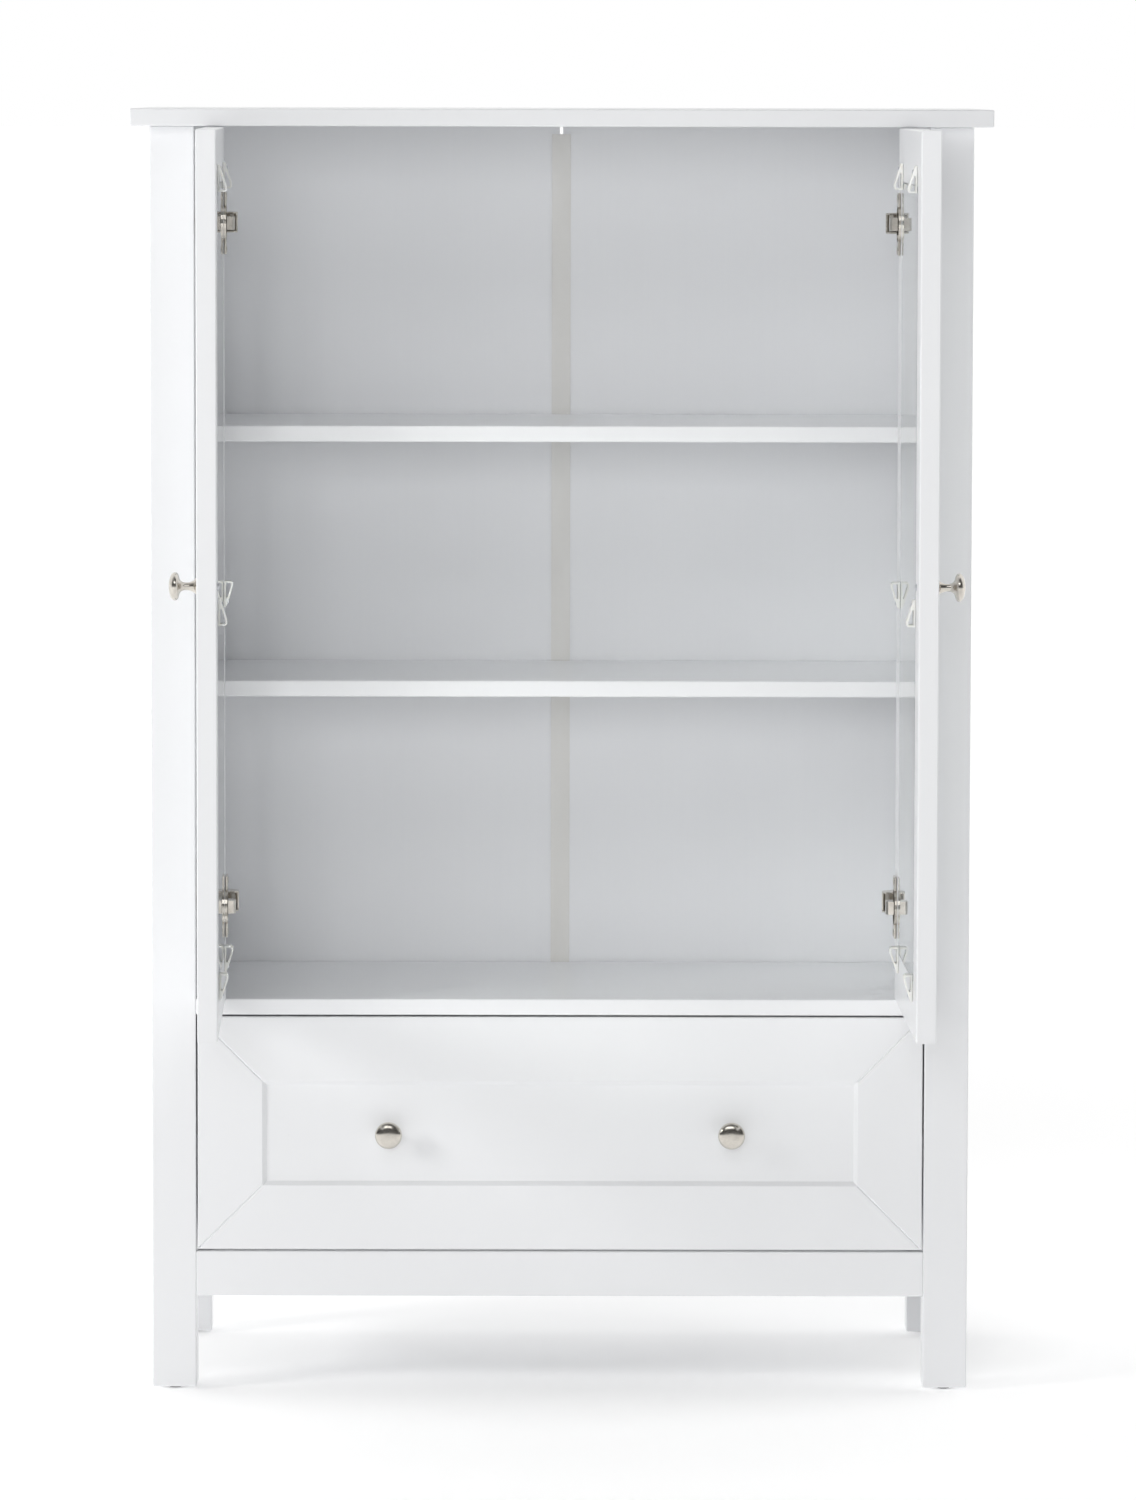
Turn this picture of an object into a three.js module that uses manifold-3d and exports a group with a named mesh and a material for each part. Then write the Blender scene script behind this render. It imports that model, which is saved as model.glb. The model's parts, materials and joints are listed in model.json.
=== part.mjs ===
// Armoire: a four-legged cabinet with two framed glass doors above one wide drawer.
//
// Units are millimetres, +Z is up, the front of the cabinet faces -Y and +X is to the right of
// someone who stands in front of it. Every piece is drawn in the cabinet frame: X = 0 on the
// centre line, Y = 0 on the front faces of the legs and Z = 0 on the surface it stands on.
// The doors are drawn shut and then swung open in a group that turns about their hinge line.

import * as THREE from 'three';
import { ConvexGeometry } from 'three/addons/geometries/ConvexGeometry.js';
import { mergeVertices } from 'three/addons/utils/BufferGeometryUtils.js';
import Module from 'manifold-3d';

// ---- Driving dimensions -------------------------------------------------------------------

const overallHeight = 1193;
const bodyWidth = 760;
const bodyDepth = 358;

const topThickness = 16;
const topSideOverhang = 17.5;
const topFrontOverhang = 12;

const legWidth = 41;
const legDepth = 40;
const glideDiameter = 17;
const glideHeight = 3;

const panelThickness = 15;
const boardThickness = 16;
const edgeChamfer = 0.9;

const apronBottom = 89;
const apronHeight = 42;
const drawerOpeningHeight = 222;

const lowerSpaceHeight = 278;
const upperSpaceHeight = 278;
const shelfSetback = 50;

const backThickness = 3;
const backSetback = 55;
const backGrooveDepth = 5;
const backJointGap = 3;
const stripWidth = 18;
const stripFlange = 1.5;
const stripTopGap = 9;

const frontGap = 1.8;
const doorSideGap = 1.5;
const doorMeetingGap = 3;
const doorEndGap = 1;
const doorThickness = 18;
const doorRestAngleLeft = 88.8;
const doorRestAngleRight = 90.7;
const doorOpenInset = 10;
const doorOpenAdvance = 2;

const frameWidth = 60;
const frameBevelWidth = 4;
const frameBevelDepth = 3.5;
const rebateWidth = 11.5;
const glassThickness = 4;
const glassEdgeClearance = 1;
const grooveWidth = 2.4;
const grooveDepth = 1.2;

const knobDiameter = 25;
const knobProjection = 24.8;
const doorKnobInset = 30;
const drawerKnobSpacing = 319;

const hingeEndDistance = 87.8;
const cupDiameter = 35;
const cupDepth = 11.5;
const cupWall = 1;
const cupEdgeDistance = 22;
const cupFlangeLength = 57.5;
const cupFlangeWidth = 23;
const cupFlangeThickness = 2.2;
const linkHeight = 12;
const linkProjection = 10;
const linkHalfWidth = 10;
const linkSideClearance = 2;
const armWall = 1.5;
const armLength = 65;
const mountThickness = 3;
const mountLength = 50;
const mountWidth = 32;
const mountSetback = 25;

const clipWidth = 14;
const clipLength = 24;
const clipHeight = 8;
const clipWall = 1.7;
const clipHeel = 9;
const clipOverlap = 7;
const clipCornerDistance = 60;
const clipDrop = 24;

const drawerSideThickness = 12;
const drawerSideHeight = 150;
const drawerBoxDepth = 270;
const drawerBoxLift = 14;
const drawerBottomThickness = 4;
const drawerBottomLift = 12;
const drawerBottomHousing = 6;
const runnerSpace = 12.5;
const runnerClearance = 1.5;
const runnerHeight = 33;
const runnerWall = 1.4;

// Clearance between pieces that touch or turn.
const clearance = 0.3;

// ---- Derived places -----------------------------------------------------------------------

const topUnderside = overallHeight - topThickness;
const legInnerX = bodyWidth / 2 - legWidth;
const panelOuterX = legInnerX + panelThickness;
const drawerOpeningBottom = apronBottom + apronHeight;
const floorUnderside = drawerOpeningBottom + drawerOpeningHeight;
const floorTop = floorUnderside + panelThickness;
const lowerShelfUnderside = floorTop + lowerSpaceHeight;
const upperShelfUnderside = topUnderside - upperSpaceHeight - panelThickness;
const backFrontY = bodyDepth - backSetback;
const backRearY = backFrontY + backThickness;
const stripFrontY = backFrontY - clearance / 3 - stripFlange;
const rearLegFrontY = bodyDepth - legDepth;

const hingeEdgeX = -legInnerX + doorSideGap;
const doorWidth = legInnerX - doorSideGap - doorMeetingGap / 2;
const doorBottom = floorTop + doorEndGap;
const doorTop = topUnderside - doorEndGap;
const doorHeight = doorTop - doorBottom;
const lipThickness = doorThickness - glassThickness - clearance;
const memberInnerWidth = frameWidth - rebateWidth;

// The single pivot that stands for the linkage of the concealed hinges: it carries the shut door
// to a place square to the front, with its inner face clear of the opening's side by the door's
// thickness and the open inset, and its hinge edge a little inside the front plane.
const openInnerFaceX = -legInnerX + doorOpenInset + doorThickness;
const pivotDifference = openInnerFaceX - doorThickness;
const pivotSum = doorOpenAdvance + hingeEdgeX;
const pivotX = (pivotSum + pivotDifference) / 2;
const pivotY = (pivotSum - pivotDifference) / 2;

const drawerFrontBottom = drawerOpeningBottom + frontGap;
const drawerFrontTop = floorUnderside - frontGap;
const drawerFrontHalfWidth = legInnerX - doorSideGap;
const drawerBoxHalfWidth = legInnerX - runnerSpace;
const drawerBoxBottom = drawerFrontBottom + drawerBoxLift;
const drawerBoxBack = boardThickness + drawerBoxDepth;
const drawerBottomZ = drawerBoxBottom + drawerBottomLift;
const runnerThickness = runnerSpace - runnerClearance;

// ---- Finishes -----------------------------------------------------------------------------

const finishes = {
  whitePaint: { color: 0xf1f2f2, roughness: 0.42, metalness: 0 },
  whiteFoil: { color: 0xe9ebec, roughness: 0.5, metalness: 0 },
  satinNickel: { color: 0xbcb7ad, roughness: 0.28, metalness: 1 },
  zincSteel: { color: 0xc4c5c8, roughness: 0.34, metalness: 1 },
  clearGlass: { color: 0xeaf4f0, roughness: 0.04, metalness: 0 },
  milkyPlastic: { color: 0xe9e6dd, roughness: 0.4, metalness: 0 },
  greyPlastic: { color: 0xcfcac0, roughness: 0.45, metalness: 0 },
  blackPlastic: { color: 0x202020, roughness: 0.6, metalness: 0 },
};

// ---- Geometry helpers ---------------------------------------------------------------------

const wasm = await Module();
wasm.setup();

const weldDistance = 1e-4;
const roundSteps = 28;

/** Triangle corner numbers of a welded geometry, without triangles that have no area. */
function liveTriangles(geometry) {
  const index = geometry.index.array;
  const kept = [];
  for (let i = 0; i < index.length; i += 3) {
    const [a, b, c] = [index[i], index[i + 1], index[i + 2]];
    if (a !== b && b !== c && c !== a) {
      kept.push(a, b, c);
    }
  }
  return kept;
}

/** A closed geometry as a solid that can be joined and cut. */
function toSolid(geometry) {
  const bare = geometry.clone();
  bare.deleteAttribute('normal');
  bare.deleteAttribute('uv');
  const welded = mergeVertices(bare, weldDistance);
  return new wasm.Manifold(new wasm.Mesh({
    numProp: 3,
    vertProperties: new Float32Array(welded.attributes.position.array),
    triVerts: new Uint32Array(liveTriangles(welded)),
  }));
}

/** A solid as a geometry. */
function toGeometry(solid) {
  const mesh = solid.getMesh();
  const geometry = new THREE.BufferGeometry();
  geometry.setAttribute('position', new THREE.BufferAttribute(mesh.vertProperties, 3));
  geometry.setIndex(new THREE.BufferAttribute(mesh.triVerts, 1));
  geometry.computeVertexNormals();
  return geometry;
}

/** The geometry moved by a matrix, with its faces kept outward if the matrix mirrors it. */
function transformed(geometry, matrix) {
  const moved = geometry.clone().applyMatrix4(matrix);
  if (matrix.determinant() > 0) {
    return moved;
  }
  if (moved.index === null) {
    moved.setIndex([...Array(moved.attributes.position.count).keys()]);
  }
  const corners = moved.index.array;
  for (let i = 0; i < corners.length; i += 3) {
    [corners[i + 1], corners[i + 2]] = [corners[i + 2], corners[i + 1]];
  }
  return moved;
}

/** The geometry on the left for side -1, and its mirror image in X = 0 for side +1. */
function onSide(geometry, side) {
  return transformed(geometry, new THREE.Matrix4().makeScale(-side, 1, 1));
}

/** A board between two corners, with every edge cut back by the same small chamfer. */
function boardGeometry(low, high, chamfer = edgeChamfer) {
  const points = [];
  for (let corner = 0; corner < 8; corner += 1) {
    const outward = [corner & 1 ? 1 : -1, corner & 2 ? 1 : -1, corner & 4 ? 1 : -1];
    const tip = outward.map((sign, axis) => (sign > 0 ? high[axis] : low[axis]));
    for (let fullAxis = 0; fullAxis < 3; fullAxis += 1) {
      const place = tip.map((value, axis) => value - (axis === fullAxis ? 0 : outward[axis] * chamfer));
      points.push(new THREE.Vector3(...place));
    }
  }
  return new ConvexGeometry(points);
}

/** A list of [x, y] points as vectors. */
function vectors(outline) {
  return outline.map(([x, y]) => new THREE.Vector2(x, y));
}

/** A closed outline of [x, y] points pulled up from one height to another, round any holes. */
function prism(outline, bottom, top, holes = []) {
  const shape = new THREE.Shape(vectors(outline));
  shape.holes = holes.map((hole) => new THREE.Path(vectors(hole)));
  const geometry = new THREE.ExtrudeGeometry(shape, { depth: top - bottom, bevelEnabled: false });
  return geometry.translate(0, 0, bottom);
}

/** A closed outline of [x, z] points pulled back from one Y to another. */
function prismAlongY(outline, front, back) {
  const swap = new THREE.Matrix4().set(1, 0, 0, 0, 0, 0, 1, 0, 0, 1, 0, 0, 0, 0, 0, 1);
  return transformed(prism(outline, front, back), swap);
}

/** A plain box between two corners. */
function boxGeometry(low, high) {
  const size = high.map((value, axis) => value - low[axis]);
  const middle = high.map((value, axis) => (value + low[axis]) / 2);
  return new THREE.BoxGeometry(...size).translate(...middle);
}

/** A turned piece about Y from [radius, along] points, which start and end on the axis. */
function turned(profile) {
  const points = profile.map(([radius, along]) => new THREE.Vector2(radius, along));
  return new THREE.LatheGeometry(points, roundSteps);
}

/** A cylinder along Y. */
function cylinderAlongY(radius, front, back) {
  return turned([[0, front], [radius, front], [radius, back], [0, back]]);
}

/** A wedge that cuts a V-groove into the plane Y = face, from one [x, z] point to another. */
function grooveCutter(from, to, face) {
  const start = new THREE.Vector3(from[0], face, from[1]);
  const run = new THREE.Vector3(to[0] - from[0], 0, to[1] - from[1]);
  const length = run.length();
  const along = run.normalize();
  const inward = new THREE.Vector3(0, 1, 0);
  const across = new THREE.Vector3().crossVectors(inward, along);
  const steep = (2 * grooveDepth) / grooveWidth;
  const above = 1;
  const outline = [
    [-grooveWidth / 2 - above / steep, -above],
    [grooveWidth / 2 + above / steep, -above],
    [0, grooveDepth],
  ];
  const basis = new THREE.Matrix4().makeBasis(across, inward, along).setPosition(start);
  return transformed(prism(outline, 0, length), basis);
}

/** The four mitre grooves of a framed front, each from an outer corner to the frame's inner one. */
function mitreGrooves(left, right, bottom, top, face) {
  const reach = frameWidth + clearance;
  return [
    grooveCutter([left - 1, bottom - 1], [left + reach, bottom + reach], face),
    grooveCutter([right + 1, bottom - 1], [right - reach, bottom + reach], face),
    grooveCutter([left - 1, top + 1], [left + reach, top - reach], face),
    grooveCutter([right + 1, top + 1], [right - reach, top - reach], face),
  ];
}

/** The geometry with each cutter taken away. */
function cut(geometry, cutters) {
  let solid = toSolid(geometry);
  for (const cutter of cutters) {
    solid = solid.subtract(toSolid(cutter));
  }
  return toGeometry(solid);
}

/** A named mesh in its own finish, added to a group. */
function addPiece(parent, name, finish, geometry) {
  const mesh = new THREE.Mesh(geometry, new THREE.MeshStandardMaterial(finishes[finish]));
  mesh.name = name;
  parent.add(mesh);
  return mesh;
}

const sides = [[-1, 'left'], [1, 'right']];

// ---- Carcass ------------------------------------------------------------------------------

/** The overhanging top board. */
function addTopBoard(parent) {
  const halfWidth = bodyWidth / 2 + topSideOverhang;
  const low = [-halfWidth, -topFrontOverhang, topUnderside];
  const high = [halfWidth, bodyDepth, overallHeight];
  addPiece(parent, 'top_board', 'whitePaint', boardGeometry(low, high));
}

/** Four square posts from the feet to the top board, each on a round glide. */
function addLegsAndGlides(parent) {
  const glideProfile = [
    [0, 0],
    [glideDiameter * 0.36, 0],
    [glideDiameter * 0.47, glideHeight * 0.35],
    [glideDiameter / 2, glideHeight],
    [0, glideHeight],
  ];
  for (const [side, sideName] of sides) {
    for (const [rowName, frontY] of [['front', 0], ['rear', rearLegFrontY]]) {
      const leg = boardGeometry(
        [-bodyWidth / 2, frontY, glideHeight],
        [-legInnerX, frontY + legDepth, topUnderside],
      );
      addPiece(parent, `${rowName}_leg_${sideName}`, 'whitePaint', onSide(leg, side));
      const glide = turned(glideProfile).rotateX(Math.PI / 2);
      const glidePlace = [-bodyWidth / 2 + legWidth / 2, frontY + legDepth / 2, 0];
      glide.translate(...glidePlace);
      addPiece(parent, `foot_glide_${rowName}_${sideName}`, 'blackPlastic', onSide(glide, side));
    }
  }
}

/** Side panels between the posts, flush with their inner faces, grooved for the back. */
function addSidePanels(parent) {
  const inner = -legInnerX;
  const outer = -panelOuterX;
  const grooveFront = backFrontY - clearance;
  const grooveBack = backRearY + clearance;
  const outline = [
    [outer, legDepth],
    [inner, legDepth],
    [inner, grooveFront],
    [inner - backGrooveDepth, grooveFront],
    [inner - backGrooveDepth, grooveBack],
    [inner, grooveBack],
    [inner, rearLegFrontY],
    [outer, rearLegFrontY],
  ];
  for (const [side, sideName] of sides) {
    const panel = prism(outline, apronBottom, topUnderside);
    addPiece(parent, `side_panel_${sideName}`, 'whitePaint', onSide(panel, side));
  }
}

/** The cabinet floor and two shelves between the sides. */
function addFloorAndShelves(parent) {
  const backEdge = stripFrontY - clearance;
  const boards = [
    ['cabinet_floor', 0, floorUnderside],
    ['shelf_lower', shelfSetback, lowerShelfUnderside],
    ['shelf_upper', shelfSetback, upperShelfUnderside],
  ];
  for (const [name, frontY, underside] of boards) {
    const low = [-legInnerX, frontY, underside];
    const high = [legInnerX, backEdge, underside + panelThickness];
    addPiece(parent, name, 'whitePaint', boardGeometry(low, high));
  }
}

/** The back: two thin panels in the side grooves, joined by a plastic H strip. */
function addBack(parent) {
  const bottom = drawerOpeningBottom + clearance;
  const outerX = legInnerX + backGrooveDepth - clearance;
  for (const [side, sideName] of sides) {
    const panel = boxGeometry(
      [-outerX, backFrontY, bottom],
      [-backJointGap / 2, backRearY, topUnderside],
    );
    addPiece(parent, `back_panel_${sideName}`, 'whiteFoil', onSide(panel, side));
  }
  const half = stripWidth / 2;
  const web = backJointGap / 2 - clearance;
  const innerFront = backFrontY - clearance / 3;
  const innerRear = backRearY + clearance / 3;
  const rearFace = innerRear + stripFlange;
  const outline = [
    [-half, stripFrontY], [half, stripFrontY], [half, innerFront], [web, innerFront],
    [web, innerRear], [half, innerRear], [half, rearFace], [-half, rearFace],
    [-half, innerRear], [-web, innerRear], [-web, innerFront], [-half, innerFront],
  ];
  const strip = prism(outline, bottom, topUnderside - stripTopGap);
  addPiece(parent, 'back_joining_strip', 'greyPlastic', strip);
}

/** Low rails between the front legs and between the rear legs. */
function addAprons(parent) {
  const rows = [['apron_front', 0], ['apron_rear', bodyDepth - boardThickness]];
  for (const [name, frontY] of rows) {
    const low = [-legInnerX, frontY, apronBottom];
    const high = [legInnerX, frontY + boardThickness, drawerOpeningBottom];
    addPiece(parent, name, 'whitePaint', boardGeometry(low, high));
  }
}

/** Channel runners on the sides of the drawer opening, open towards the drawer. */
function addRunners(parent) {
  const wallX = -legInnerX;
  const lipX = wallX + runnerThickness;
  const bottom = drawerBoxBottom + (drawerSideHeight - runnerHeight) / 2;
  const top = bottom + runnerHeight;
  const lip = 5;
  const outline = [
    [wallX, bottom], [lipX, bottom], [lipX, bottom + lip], [lipX - runnerWall, bottom + lip],
    [lipX - runnerWall, bottom + runnerWall], [wallX + runnerWall, bottom + runnerWall],
    [wallX + runnerWall, top - runnerWall], [lipX - runnerWall, top - runnerWall],
    [lipX - runnerWall, top - lip], [lipX, top - lip], [lipX, top], [wallX, top],
  ];
  for (const [side, sideName] of sides) {
    const runner = prismAlongY(outline, boardThickness + 3, drawerBoxBack);
    addPiece(parent, `drawer_runner_${sideName}`, 'zincSteel', onSide(runner, side));
  }
}

// ---- Concealed hinges ---------------------------------------------------------------------

const hingeHeights = [
  ['upper', doorTop - hingeEndDistance],
  ['lower', doorBottom + hingeEndDistance],
];

// The arm's front end stands just behind the shut door. Its cheeks pass above and below the link,
// and its web stops short of the path that the link takes as the door turns.
const armFrontY = doorThickness + clearance + cupFlangeThickness + 0.5;
const webFrontY = doorThickness + linkProjection + 1;
const armHeight = linkHeight + 2 * (linkSideClearance + armWall);
const armReach = doorSideGap + cupEdgeDistance + linkHalfWidth + armWall + 4;

/** A cranked arm with two cheeks on a mounting plate, fixed to the side of the cabinet. */
function hingeArmGeometry(height) {
  const wall = -legInnerX;
  const tip = wall + armReach;
  const front = armFrontY;
  const back = armFrontY + armLength;
  const mount = boxGeometry(
    [wall, front + mountSetback, height - mountLength / 2],
    [wall + mountThickness, front + mountSetback + mountWidth, height + mountLength / 2],
  );
  const armOutline = [
    [wall + 1, front + 25], [wall + 9, front + 25], [wall + 17, front + 5], [wall + 23, front],
    [tip - 3, front], [tip, front + 3], [tip, front + 13], [tip - 2, front + 17],
    [wall + 18, front + 34], [wall + 17, back - 4], [wall + 14, back], [wall + 1, back],
  ];
  const arm = prism(armOutline, height - armHeight / 2, height + armHeight / 2);
  const hollowHalf = armHeight / 2 - armWall;
  const hollowOutline = [
    [wall + 11.5, front + 23], [wall + 15, front - 8], [tip + 1, front - 8], [tip + 1, webFrontY],
    [tip - armWall, webFrontY], [tip - armWall, front + 13], [tip - 3.5, front + 16],
    [wall + 17, front + 32], [wall + 12.5, front + 32],
  ];
  const hollow = prism(hollowOutline, height - hollowHalf, height + hollowHalf);
  return toGeometry(toSolid(arm).subtract(toSolid(hollow)).add(toSolid(mount)));
}

/** A flanged cup sunk in the door, with the link that reaches into the arm. */
function hingeCupGeometry(height) {
  const centreX = hingeEdgeX + cupEdgeDistance;
  const radius = cupDiameter / 2;
  const floorY = doorThickness - cupDepth;
  const mouthY = doorThickness + clearance;
  const bowl = cylinderAlongY(radius, floorY, mouthY + cupFlangeThickness).translate(centreX, 0, height);
  const hollow = cylinderAlongY(radius - cupWall, floorY + cupWall, doorThickness * 2);
  hollow.translate(centreX, 0, height);
  const flangeHalf = cupFlangeLength / 2;
  const flange = boardGeometry(
    [centreX - cupFlangeWidth / 2 - 4, mouthY, height - flangeHalf],
    [centreX + cupFlangeWidth / 2 - 4, mouthY + cupFlangeThickness, height + flangeHalf],
    0.8,
  );
  const linkTop = doorThickness + linkProjection;
  const linkOutline = [
    [centreX - 7, floorY + cupWall / 2], [centreX + 7, floorY + cupWall / 2],
    [centreX + linkHalfWidth, linkTop - 7], [centreX + 9, linkTop - 2], [centreX + 6, linkTop],
    [centreX - 6, linkTop], [centreX - linkHalfWidth, linkTop - 3],
    [centreX - linkHalfWidth - 1, linkTop - 7],
  ];
  const link = prism(linkOutline, height - linkHeight / 2, height + linkHeight / 2);
  const shell = toSolid(bowl).add(toSolid(flange)).subtract(toSolid(hollow));
  return toGeometry(shell.add(toSolid(link)));
}

/** The hinge arms on both sides of the cabinet. */
function addHingeArms(parent) {
  for (const [side, sideName] of sides) {
    for (const [levelName, height] of hingeHeights) {
      const arm = hingeArmGeometry(height);
      addPiece(parent, `hinge_arm_${levelName}_${sideName}`, 'satinNickel', onSide(arm, side));
    }
  }
}

// ---- Doors --------------------------------------------------------------------------------

/** A frame member along Z, mitred at both ends: u runs in from its outer edge, v into the door. */
function frameMember(length) {
  const profile = [
    [edgeChamfer, 0],
    [frameWidth - frameBevelWidth, 0],
    [frameWidth, frameBevelDepth],
    [frameWidth, lipThickness],
    [memberInnerWidth, lipThickness],
    [memberInnerWidth, doorThickness],
    [edgeChamfer, doorThickness],
    [0, doorThickness - edgeChamfer],
    [0, edgeChamfer],
  ];
  const geometry = prism(profile, 0, length);
  const place = geometry.attributes.position;
  for (let i = 0; i < place.count; i += 1) {
    const inset = place.getX(i) + clearance / 2;
    place.setZ(i, place.getZ(i) < length / 2 ? inset : length - inset);
  }
  return geometry;
}

/** A mushroom knob on the plane Y = face, pointing to the front. */
function knobGeometry(x, face, z) {
  const radius = knobDiameter / 2;
  const profile = [
    [0, 0], [7, 0], [7, 1.2], [5, 3], [3.6, 6], [3.5, 12],
    [radius * 0.42, knobProjection - 10.4],
    [radius * 0.86, knobProjection - 8.5],
    [radius * 0.985, knobProjection - 6.9],
    [radius, knobProjection - 5.2],
    [radius * 0.93, knobProjection - 2.9],
    [radius * 0.7, knobProjection - 1.1],
    [radius * 0.36, knobProjection - 0.2],
    [0, knobProjection],
  ];
  return turned(profile).rotateX(Math.PI).translate(x, face, z);
}

/** A glass clip: a bent strap that rises from its heel, drawn along X with its seat on Y = 0. */
function clipGeometry() {
  const rise = (clipHeight - 2.6) / (clipLength - 7);
  const heelCeiling = 2.6 + rise * (clipHeel - 2) - clipWall * Math.hypot(1, rise);
  const outline = [
    [0, 0], [clipLength, 0], [clipLength, clipHeight - 1.5], [clipLength - 1.5, clipHeight],
    [clipLength - 5, clipHeight], [2, 2.6], [0, 1.6],
  ];
  const hole = [
    [clipHeel, clipWall],
    [clipLength - clipWall, clipWall],
    [clipLength - clipWall, clipHeight - clipWall - 0.4],
    [clipLength - clipWall - 0.4, clipHeight - clipWall],
    [clipLength - 5, clipHeight - clipWall],
    [clipHeel, heelCeiling],
  ];
  return prism(outline, -clipWidth / 2, clipWidth / 2, [hole]);
}

/** A matrix that lays a clip on a member: across it for a rail, or along it, rising up or down. */
function clipMatrix(direction, along) {
  const seat = doorThickness + clearance;
  const inward = new THREE.Vector3(0, 1, 0);
  if (direction === 'across') {
    const heel = memberInnerWidth + clipOverlap - clipLength;
    return new THREE.Matrix4().makeTranslation(heel, seat, along);
  }
  const run = new THREE.Vector3(0, 0, direction === 'up' ? 1 : -1);
  const across = new THREE.Vector3().crossVectors(run, inward);
  const middle = memberInnerWidth + clipOverlap - clipWidth / 2;
  const start = along - (run.z * clipLength) / 2;
  return new THREE.Matrix4().makeBasis(run, inward, across).setPosition(middle, seat, start);
}

/** Matrices that lay a piece drawn as (u, v, w) along each edge of the shut left door. */
function doorEdgeMatrices() {
  const leadX = hingeEdgeX + doorWidth;
  return {
    hinge_stile: new THREE.Matrix4().set(
      1, 0, 0, hingeEdgeX, 0, 1, 0, 0, 0, 0, 1, doorBottom, 0, 0, 0, 1),
    lead_stile: new THREE.Matrix4().set(
      -1, 0, 0, leadX, 0, 1, 0, 0, 0, 0, 1, doorBottom, 0, 0, 0, 1),
    bottom_rail: new THREE.Matrix4().set(
      0, 0, 1, hingeEdgeX, 0, 1, 0, 0, 1, 0, 0, doorBottom, 0, 0, 0, 1),
    top_rail: new THREE.Matrix4().set(
      0, 0, 1, hingeEdgeX, 0, 1, 0, 0, -1, 0, 0, doorTop, 0, 0, 0, 1),
  };
}

/** The clips that hold the glass: name, edge of the door, direction, distance along the edge. */
function clipPlaces() {
  const middle = doorHeight / 2 - clipDrop;
  return [
    ['top_hinge', 'top_rail', 'across', clipCornerDistance],
    ['top_lead', 'top_rail', 'across', doorWidth - clipCornerDistance],
    ['mid_hinge', 'hinge_stile', 'up', middle],
    ['mid_lead', 'lead_stile', 'down', middle],
    ['bottom_hinge', 'bottom_rail', 'across', clipCornerDistance],
    ['bottom_lead', 'bottom_rail', 'across', doorWidth - clipCornerDistance],
  ];
}

/** One door as a group that turns about its hinge line, open by the given angle. */
function addDoor(parent, side, sideName, restAngle) {
  const swing = new THREE.Group();
  swing.position.set(-side * pivotX, pivotY, 0);
  swing.rotation.z = THREE.MathUtils.degToRad(side * restAngle);
  parent.add(swing);
  const shut = new THREE.Group();
  shut.position.set(side * pivotX, -pivotY, 0);
  swing.add(shut);

  const leadX = hingeEdgeX + doorWidth;
  const edges = doorEdgeMatrices();
  const grooves = mitreGrooves(hingeEdgeX, leadX, doorBottom, doorTop, 0);
  const cupCentreX = hingeEdgeX + cupEdgeDistance;
  const bores = hingeHeights.map(([, height]) => cylinderAlongY(
    cupDiameter / 2 + clearance, doorThickness - cupDepth - clearance, doorThickness + 1,
  ).translate(cupCentreX, 0, height));

  const add = (name, finish, geometry) => {
    addPiece(shut, `${name}_${sideName}`, finish, onSide(geometry, side));
  };
  for (const [name, matrix] of Object.entries(edges)) {
    const length = name.endsWith('stile') ? doorHeight : doorWidth;
    const member = transformed(frameMember(length), matrix);
    const cutters = name === 'hinge_stile' ? [...grooves, ...bores] : grooves;
    add(`door_${name}`, 'whitePaint', cut(member, cutters));
  }

  const glassInset = memberInnerWidth + glassEdgeClearance;
  add('door_glass', 'clearGlass', boardGeometry(
    [hingeEdgeX + glassInset, lipThickness + clearance, doorBottom + glassInset],
    [leadX - glassInset, lipThickness + clearance + glassThickness, doorTop - glassInset],
    0.4,
  ));
  const knobHeight = (doorBottom + doorTop) / 2;
  add('door_knob', 'satinNickel', knobGeometry(leadX - doorKnobInset, -clearance, knobHeight));
  for (const [levelName, height] of hingeHeights) {
    add(`hinge_cup_${levelName}`, 'satinNickel', hingeCupGeometry(height));
  }
  for (const [name, edge, direction, along] of clipPlaces()) {
    const clip = transformed(clipGeometry(), clipMatrix(direction, along));
    add(`glass_clip_${name}`, 'milkyPlastic', transformed(clip, edges[edge]));
  }
}

// ---- Drawer -------------------------------------------------------------------------------

/** The drawer's face: one board, routed with a sunk panel and mitre grooves like the doors. */
function drawerFrontGeometry() {
  const half = drawerFrontHalfWidth;
  const board = boardGeometry(
    [-half, 0, drawerFrontBottom],
    [half, boardThickness, drawerFrontTop],
  );
  const outer = [half - frameWidth, drawerFrontBottom + frameWidth, drawerFrontTop - frameWidth];
  const grow = frameBevelWidth / frameBevelDepth;
  const points = [];
  for (const depth of [-1, frameBevelDepth]) {
    const inset = depth * grow;
    for (const sign of [-1, 1]) {
      points.push(new THREE.Vector3(sign * (outer[0] - inset), depth, outer[1] + inset));
      points.push(new THREE.Vector3(sign * (outer[0] - inset), depth, outer[2] - inset));
    }
  }
  const sunkPanel = new ConvexGeometry(points);
  const bottomHousing = boxGeometry(
    [
      -drawerBoxHalfWidth + drawerSideThickness - drawerBottomHousing,
      boardThickness - drawerBottomHousing,
      drawerBottomZ - clearance,
    ],
    [
      drawerBoxHalfWidth - drawerSideThickness + drawerBottomHousing,
      boardThickness + 1,
      drawerBottomZ + drawerBottomThickness + clearance,
    ],
  );
  const grooves = mitreGrooves(-half, half, drawerFrontBottom, drawerFrontTop, 0);
  return cut(board, [sunkPanel, bottomHousing, ...grooves]);
}

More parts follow.
